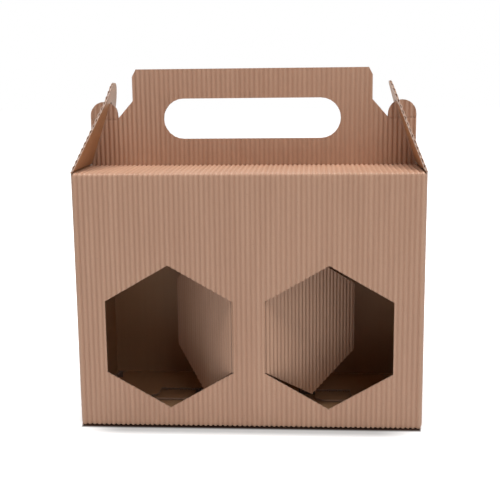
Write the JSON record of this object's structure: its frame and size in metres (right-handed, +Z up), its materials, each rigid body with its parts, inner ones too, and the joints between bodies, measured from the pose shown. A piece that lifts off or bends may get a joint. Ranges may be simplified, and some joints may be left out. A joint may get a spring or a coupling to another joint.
{
  "type": "corrugated carry box",
  "caption": "Folded gable-top carry box of open-flute corrugated board for a pair of jars, with hexagonal windows, a slotted handle and hinged side flaps.",
  "frame": {"origin": "middle of the base, on the surface that the box stands on", "axes": "+X along the width to the right as seen from the front, +Y from the front wall to the rear wall, +Z up"},
  "size_m": [0.172, 0.087, 0.1776],
  "materials": {
    "kraft_board": "matt brown kraft, smooth liner inside and open flutes outside"
  },
  "bodies": {
    "box": {"box_body": "kraft_board"},
    "left_gable": {"left_gable_flap": "kraft_board"},
    "right_gable": {"right_gable_flap": "kraft_board"},
    "left_window": {"left_window_flap": "kraft_board"},
    "right_window": {"right_window_flap": "kraft_board"}
  },
  "joints": [
    {"name": "left_gable_hinge", "type": "hinge", "parent": "box", "child": "left_gable", "pos_m": [-0.086, 0, 0.1284], "axis": [0, -1, 0], "range_deg": [-6, 180]},
    {"name": "right_gable_hinge", "type": "hinge", "parent": "box", "child": "right_gable", "pos_m": [0.086, 0, 0.1284], "axis": [0, 1, 0], "range_deg": [-6, 180]},
    {"name": "left_window_hinge", "type": "hinge", "parent": "box", "child": "left_window", "pos_m": [-0.0079, -0.0423, 0.0465], "axis": [0, 0, -1], "range_deg": [-57, 38]},
    {"name": "right_window_hinge", "type": "hinge", "parent": "box", "child": "right_window", "pos_m": [0.0079, -0.0423, 0.0465], "axis": [0, 0, 1], "range_deg": [-44, 51]}
  ]
}
